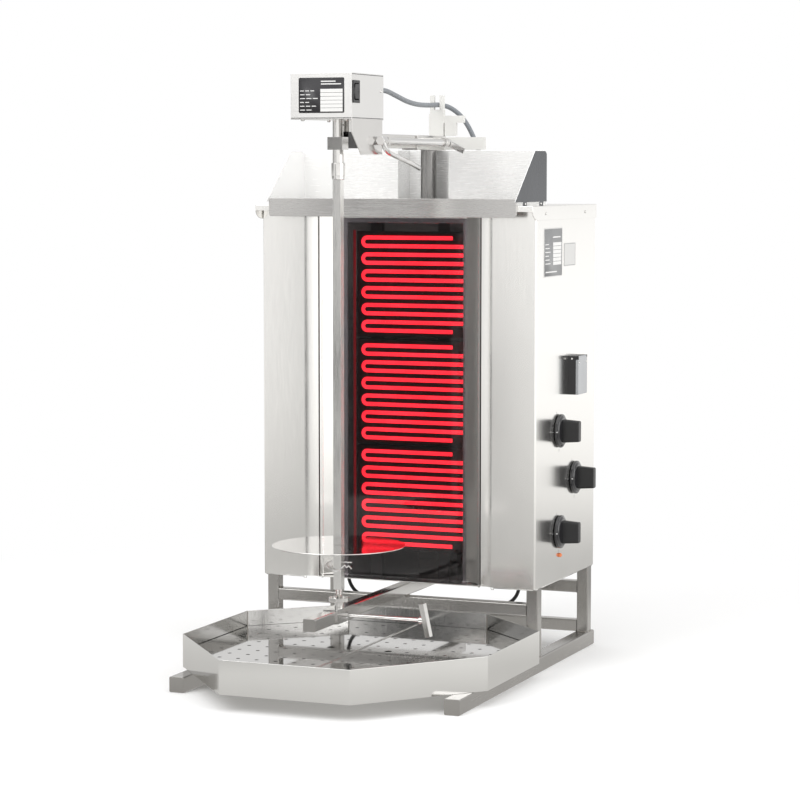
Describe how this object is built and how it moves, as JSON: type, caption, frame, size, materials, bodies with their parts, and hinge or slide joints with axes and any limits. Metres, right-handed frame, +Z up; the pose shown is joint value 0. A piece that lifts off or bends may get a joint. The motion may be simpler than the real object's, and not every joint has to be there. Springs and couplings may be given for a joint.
{
  "type": "rotisserie oven",
  "caption": "Upright electric spit grill: glass-fronted radiant heater housing on a tube frame, a motor-driven vertical spit on sliding arms, and an eight-sided drip tray.",
  "frame": {"origin": "middle of the footprint, on the surface that the skids stand on", "axes": "+Z up, -Y towards the user and the spit, +X towards the control side"},
  "size_m": [0.534, 0.75, 0.957],
  "materials": {
    "frame_steel": "brushed stainless square tube, 1.5 mm wall",
    "panel_steel": "fine vertical brushed stainless sheet",
    "polished_steel": "bright rolled stainless, nearly a mirror",
    "visor_steel": "brushed along its length",
    "heater_glass": "dark glass ceramic",
    "insulation": "pressed mineral fibre board",
    "glowing_ribbon": "heating ribbon at red heat",
    "limiter": "quartz tube of the temperature limiter",
    "switch_plastic": "moulded thermoset",
    "lamp_lens": "orange lens",
    "black_plastic": "fine moulded grain",
    "grey_plastic": "smooth grey moulding",
    "plate_foil": "blank foil plate",
    "column_steel": "drawn stainless tube",
    "bright_steel": "polished stainless bar and plate",
    "motor_cover_steel": "off-white lacquered sheet",
    "motor_casing": "die-cast gearbox and motor can",
    "grey_cable": "grey sheathed cable",
    "black_cable": "black rubber cable"
  },
  "bodies": {
    "root": {"skids": "frame_steel", "tube_end_caps": "frame_steel", "frame_posts": "frame_steel", "crossbars": "frame_steel", "lower_arm": "frame_steel", "bottom_pan": "panel_steel", "left_side_panel": "panel_steel", "right_side_panel": "panel_steel", "back_panel": "panel_steel", "top_cover": "panel_steel", "front_header": "panel_steel", "glass_rails": "panel_steel", "heater_frame": "panel_steel", "rear_guard": "polished_steel", "side_cheeks": "polished_steel", "front_visor": "visor_steel", "glass_panel": "heater_glass", "element_trays": "insulation", "top_element": "glowing_ribbon", "middle_element": "glowing_ribbon", "bottom_element": "glowing_ribbon", "limiter_tube": "limiter", "switchgear": "switch_plastic", "indicator_lamp": "lamp_lens", "socket_box": "black_plastic", "cable_glands": "black_plastic", "blank_plates": "plate_foil", "column_tube": "column_steel", "column_head": "bright_steel", "cable_holder": "bright_steel", "motor_lead": "grey_cable", "hanging_lead": "black_cable"},
    "carriage": {"arm_tube": "bright_steel", "arm_sleeve": "black_plastic", "guide_block": "bright_steel", "motor_cover": "motor_cover_steel", "motor_base": "bright_steel", "gear_motor": "motor_casing", "switch_housing": "black_plastic", "motor_gland": "black_plastic"},
    "drive": {"drive_shaft": "bright_steel"},
    "collar": {"drive_sleeve": "bright_steel"},
    "spit": {"spit_bar": "bright_steel", "meat_plate": "polished_steel", "retaining_clip": "bright_steel"},
    "slider": {"slider_sleeve": "bright_steel", "spit_socket": "bright_steel"},
    "screw": {"clamp_screw": "bright_steel"},
    "handle": {"clamp_handle": "bright_steel"},
    "lever": {"clamp_lever": "bright_steel"},
    "rocker": {"rocker_switch": "black_plastic"},
    "left_wing": {"left_reflector": "polished_steel"},
    "right_wing": {"right_reflector": "polished_steel"},
    "lid": {"socket_lid": "grey_plastic"},
    "knob_top": {"top_knob": "black_plastic"},
    "knob_middle": {"middle_knob": "black_plastic"},
    "knob_bottom": {"bottom_knob": "black_plastic"},
    "tray": {"drip_tray": "polished_steel", "left_insert": "polished_steel", "right_insert": "polished_steel"}
  },
  "joints": [
    {"name": "arm_slide", "type": "slide", "parent": "root", "child": "carriage", "axis": [0, 1, 0], "range_m": [0, 0.09], "deforming": ["motor_lead"]},
    {"name": "slider_slide", "type": "slide", "parent": "root", "child": "slider", "axis": [0, 1, 0], "range_m": [0, 0.09]},
    {"name": "drive_turn", "type": "hinge", "parent": "carriage", "child": "drive", "pos_m": [-0.009, -0.167, 0.86], "axis": [0, 0, 1], "continuous": true},
    {"name": "collar_lift", "type": "slide", "parent": "drive", "child": "collar", "axis": [0, 0, 1], "range_m": [0, 0.018]},
    {"name": "spit_turn", "type": "hinge", "parent": "slider", "child": "spit", "pos_m": [-0.009, -0.167, 0.15], "axis": [0, 0, 1], "continuous": true},
    {"name": "screw_turn", "type": "hinge", "parent": "slider", "child": "screw", "pos_m": [0.008, -0.167, 0.121], "axis": [1, 0, 0], "range_deg": [-180, 180]},
    {"name": "handle_swing", "type": "hinge", "parent": "carriage", "child": "handle", "pos_m": [0.0495, -0.116, 0.856], "axis": [0, -1, 0], "range_deg": [-10, 80]},
    {"name": "lever_swing", "type": "hinge", "parent": "root", "child": "lever", "pos_m": [0.0495, 0.144, 0.856], "axis": [0, 1, 0], "range_deg": [-60, 60]},
    {"name": "rocker_tilt", "type": "hinge", "parent": "carriage", "child": "rocker", "pos_m": [0.038, -0.2165, 0.929], "axis": [0, 1, 0], "range_deg": [-8, 8]},
    {"name": "left_wing_hinge", "type": "hinge", "parent": "root", "child": "left_wing", "pos_m": [-0.1479, 0.0842, 0.14], "axis": [0, 0, -1], "range_deg": [0, 60]},
    {"name": "right_wing_hinge", "type": "hinge", "parent": "root", "child": "right_wing", "pos_m": [0.1299, 0.0842, 0.14], "axis": [0, 0, 1], "range_deg": [0, 60]},
    {"name": "lid_hinge", "type": "hinge", "parent": "root", "child": "lid", "pos_m": [0.24575, 0.2585, 0.5025], "axis": [0, -1, 0], "range_deg": [0, 100]},
    {"name": "top_knob_turn", "type": "hinge", "parent": "root", "child": "knob_top", "pos_m": [0.231, 0.188, 0.385], "axis": [1, 0, 0], "range_deg": [0, 270]},
    {"name": "middle_knob_turn", "type": "hinge", "parent": "root", "child": "knob_middle", "pos_m": [0.231, 0.268, 0.3], "axis": [1, 0, 0], "range_deg": [0, 270]},
    {"name": "bottom_knob_turn", "type": "hinge", "parent": "root", "child": "knob_bottom", "pos_m": [0.231, 0.189, 0.218], "axis": [1, 0, 0], "range_deg": [0, 270]},
    {"name": "tray_slide", "type": "slide", "parent": "root", "child": "tray", "axis": [0, -1, 0], "range_m": [0, 0.25]}
  ],
  "couplings": [
    {"joint": "slider_slide", "follows": "arm_slide", "ratio": 1},
    {"joint": "spit_turn", "follows": "drive_turn", "ratio": 1}
  ]
}
